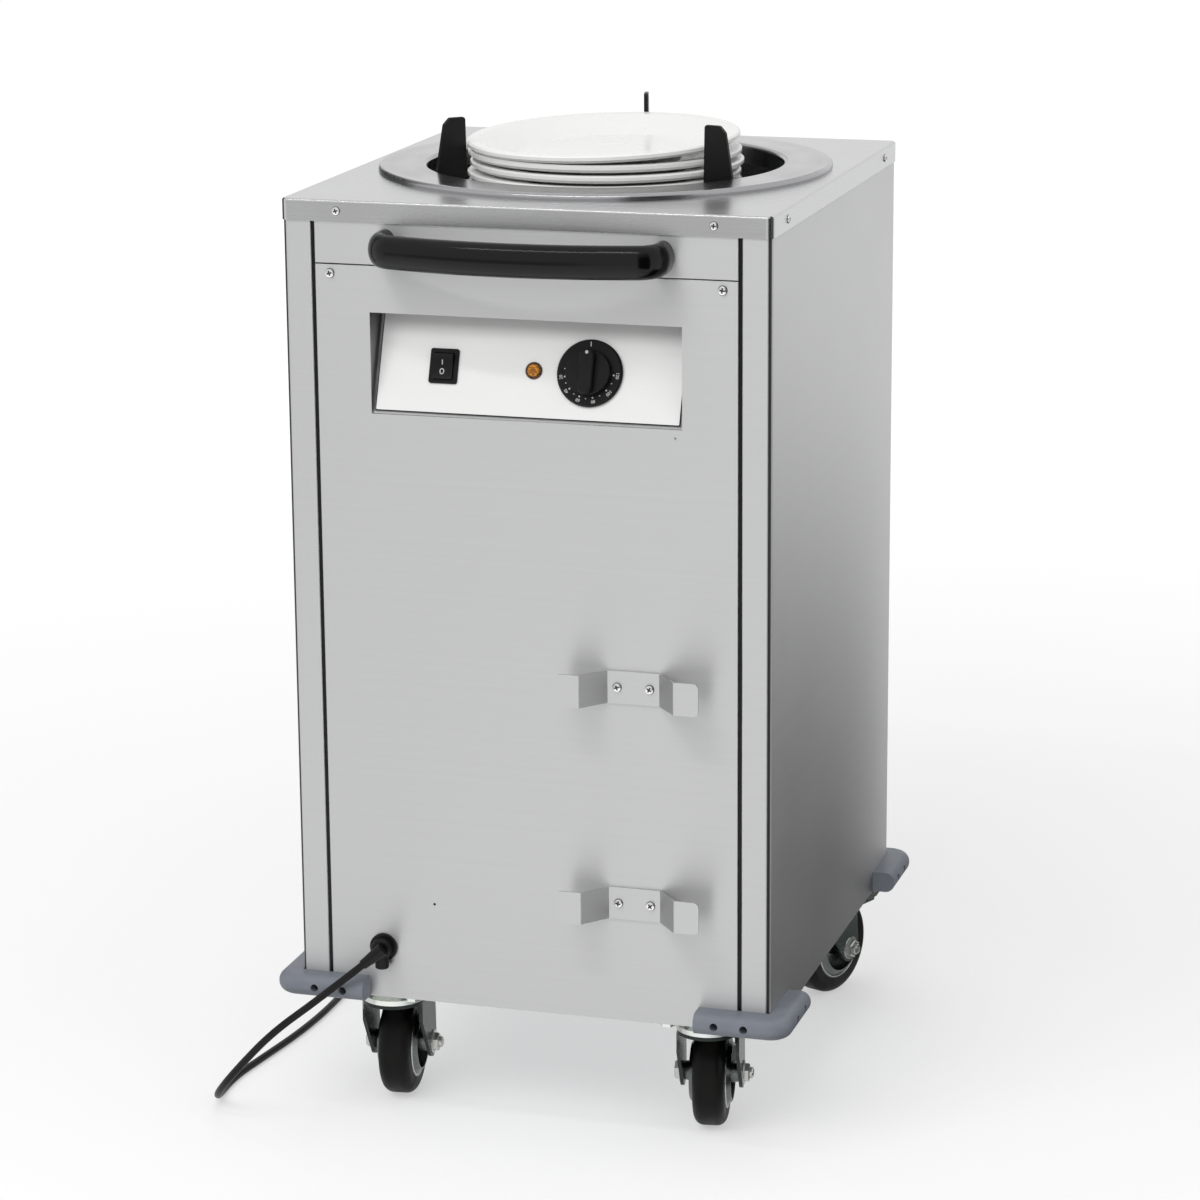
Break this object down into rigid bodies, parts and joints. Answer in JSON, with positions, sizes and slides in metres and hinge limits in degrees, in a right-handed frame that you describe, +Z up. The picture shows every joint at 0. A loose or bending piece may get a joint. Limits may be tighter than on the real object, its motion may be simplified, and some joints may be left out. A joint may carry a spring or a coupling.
{
  "type": "plate warmer cabinet",
  "caption": "Heated self-levelling plate dispenser in a stainless cabinet on swivel casters, with guides round the plate well, a recessed control panel and a push handle.",
  "frame": {"origin": "centre of the bounding box on the floor, cord left out", "axes": "+Z up, +X to the right of someone facing the front, +Y to the back, so the front faces -Y"},
  "size_m": [0.5701, 0.7276, 0.918],
  "materials": {
    "stainless_top": "brushed stainless sheet",
    "stainless_sheet": "brushed stainless sheet",
    "polished_ring": "polished spun stainless",
    "control_white": "white enamelled plate",
    "black_plastic": "glossy black moulding",
    "matte_black_plastic": "satin black moulding",
    "amber_lens": "clear amber lens",
    "bumper_grey": "bluish grey moulding",
    "zinc_plate": "zinc plated pressed steel",
    "galvanised_steel": "galvanised steel",
    "china": "white glazed china",
    "tyre_rubber": "black rubber tread",
    "hub_grey": "cast grey hub",
    "bronze": "bronze bush",
    "screw_steel": "bright screw steel",
    "heater_sheath": "dark oxidised heater sheath",
    "cord_jacket": "black rubber jacket"
  },
  "bodies": {
    "cabinet": {"base_pan": "galvanised_steel", "bumper_screws": "screw_steel", "cable_gland": "matte_black_plastic", "caster_bolts": "zinc_plate", "caster_mounts": "zinc_plate", "control_box": "stainless_sheet", "control_plate": "control_white", "cord_coil": "cord_jacket", "dispenser_cage": "galvanised_steel", "dispenser_top_ring": "galvanised_steel", "flange_screws": "screw_steel", "front_left_bumper": "bumper_grey", "front_panel": "stainless_sheet", "front_rail": "stainless_sheet", "front_right_bumper": "bumper_grey", "handle": "black_plastic", "heater_brackets": "galvanised_steel", "heater_element": "heater_sheath", "hook_screws": "screw_steel", "lamp_bezel": "amber_lens", "lamp_lens": "amber_lens", "left_side_panel": "stainless_sheet", "lower_cord_hook": "stainless_sheet", "panel_screws": "screw_steel", "plug": "matte_black_plastic", "power_cord": "cord_jacket", "rear_left_bumper": "bumper_grey", "rear_panel": "stainless_sheet", "rear_right_bumper": "bumper_grey", "right_side_panel": "stainless_sheet", "switch_housing": "matte_black_plastic", "thermostat": "matte_black_plastic", "upper_cord_hook": "stainless_sheet", "well_ring": "polished_ring", "worktop": "stainless_top"},
    "carriage": {"plate_platform": "stainless_sheet", "carriage_spider": "galvanised_steel", "carriage_bushes": "bronze", "carriage_springs": "galvanised_steel"},
    "plate_stack": {"plates": "china"},
    "rear_guide_body": {"rear_guide": "matte_black_plastic"},
    "front_left_guide_body": {"front_left_guide": "matte_black_plastic"},
    "front_right_guide_body": {"front_right_guide": "matte_black_plastic"},
    "rocker": {"rocker_switch": "matte_black_plastic"},
    "knob": {"thermostat_knob": "matte_black_plastic", "knob_spindle": "screw_steel"},
    "front_left_swivel": {"front_left_fork": "zinc_plate"},
    "front_left_wheel": {"front_left_hub": "hub_grey", "front_left_tyre": "tyre_rubber"},
    "front_right_swivel": {"front_right_fork": "zinc_plate"},
    "front_right_wheel": {"front_right_hub": "hub_grey", "front_right_tyre": "tyre_rubber"},
    "rear_left_swivel": {"rear_left_fork": "zinc_plate"},
    "rear_left_wheel": {"rear_left_hub": "hub_grey", "rear_left_tyre": "tyre_rubber"},
    "rear_right_swivel": {"rear_right_fork": "zinc_plate"},
    "rear_right_wheel": {"rear_right_hub": "hub_grey", "rear_right_tyre": "tyre_rubber"},
    "rear_left_brake_lever": {"rear_left_brake": "zinc_plate"},
    "rear_right_brake_lever": {"rear_right_brake": "zinc_plate"}
  },
  "joints": [
    {"name": "carriage_slide", "type": "slide", "parent": "cabinet", "child": "carriage", "axis": [0, 0, 1], "range_m": [-0.45, 0.03], "stiffness_N_per_m": 707, "springref_m": 0.085, "deforming": ["carriage_springs"]},
    {"name": "plates_lift", "type": "slide", "parent": "carriage", "child": "plate_stack", "axis": [0, 0, 1], "range_m": [0, 0.12]},
    {"name": "rear_guide_turn", "type": "hinge", "parent": "cabinet", "child": "rear_guide_body", "pos_m": [-0.00315, 0.16329, 0.829], "axis": [0, 0, 1], "range_deg": [-12, 75]},
    {"name": "front_left_guide_turn", "type": "hinge", "parent": "cabinet", "child": "front_left_guide_body", "pos_m": [-0.12848, -0.06469, 0.829], "axis": [0, 0, 1], "range_deg": [-12, 75]},
    {"name": "front_right_guide_turn", "type": "hinge", "parent": "cabinet", "child": "front_right_guide_body", "pos_m": [0.13162, -0.05924, 0.829], "axis": [0, 0, 1], "range_deg": [-12, 75]},
    {"name": "rocker_press", "type": "hinge", "parent": "cabinet", "child": "rocker", "pos_m": [-0.08, -0.22353, 0.71928], "axis": [1, 0, 0], "range_deg": [-16, 0]},
    {"name": "knob_turn", "type": "hinge", "parent": "cabinet", "child": "knob", "pos_m": [0.0555, -0.22353, 0.71928], "axis": [0, -0.9391, 0.3436], "range_deg": [-270, 0]},
    {"name": "front_left_swivel_turn", "type": "hinge", "parent": "cabinet", "child": "front_left_swivel", "pos_m": [-0.153, -0.18888, 0.107], "axis": [0, 0, 1], "continuous": true},
    {"name": "front_left_wheel_spin", "type": "hinge", "parent": "front_left_swivel", "child": "front_left_wheel", "pos_m": [-0.15696, -0.1541, 0.05], "axis": [0.9936, 0.1132, 0], "continuous": true},
    {"name": "front_right_swivel_turn", "type": "hinge", "parent": "cabinet", "child": "front_right_swivel", "pos_m": [0.153, -0.18888, 0.107], "axis": [0, 0, 1], "continuous": true},
    {"name": "front_right_wheel_spin", "type": "hinge", "parent": "front_right_swivel", "child": "front_right_wheel", "pos_m": [0.14752, -0.15431, 0.05], "axis": [0.9877, 0.1564, 0], "continuous": true},
    {"name": "rear_left_swivel_turn", "type": "hinge", "parent": "cabinet", "child": "rear_left_swivel", "pos_m": [-0.153, 0.19112, 0.107], "axis": [0, 0, 1], "continuous": true},
    {"name": "rear_left_wheel_spin", "type": "hinge", "parent": "rear_left_swivel", "child": "rear_left_wheel", "pos_m": [-0.17455, 0.2187, 0.05], "axis": [0.788, 0.6157, 0], "continuous": true},
    {"name": "rear_left_brake_press", "type": "hinge", "parent": "rear_left_swivel", "child": "rear_left_brake_lever", "pos_m": [-0.19487, 0.24471, 0.0955], "axis": [0.788, 0.6157, 0], "range_deg": [-7, 0]},
    {"name": "rear_right_swivel_turn", "type": "hinge", "parent": "cabinet", "child": "rear_right_swivel", "pos_m": [0.153, 0.19112, 0.107], "axis": [0, 0, 1], "continuous": true},
    {"name": "rear_right_wheel_spin", "type": "hinge", "parent": "rear_right_swivel", "child": "rear_right_wheel", "pos_m": [0.16611, 0.22357, 0.05], "axis": [0.9272, -0.3746, 0], "continuous": true},
    {"name": "rear_right_brake_press", "type": "hinge", "parent": "rear_right_swivel", "child": "rear_right_brake_lever", "pos_m": [0.17847, 0.25417, 0.0955], "axis": [0.9272, -0.3746, 0], "range_deg": [-7, 0]}
  ]
}
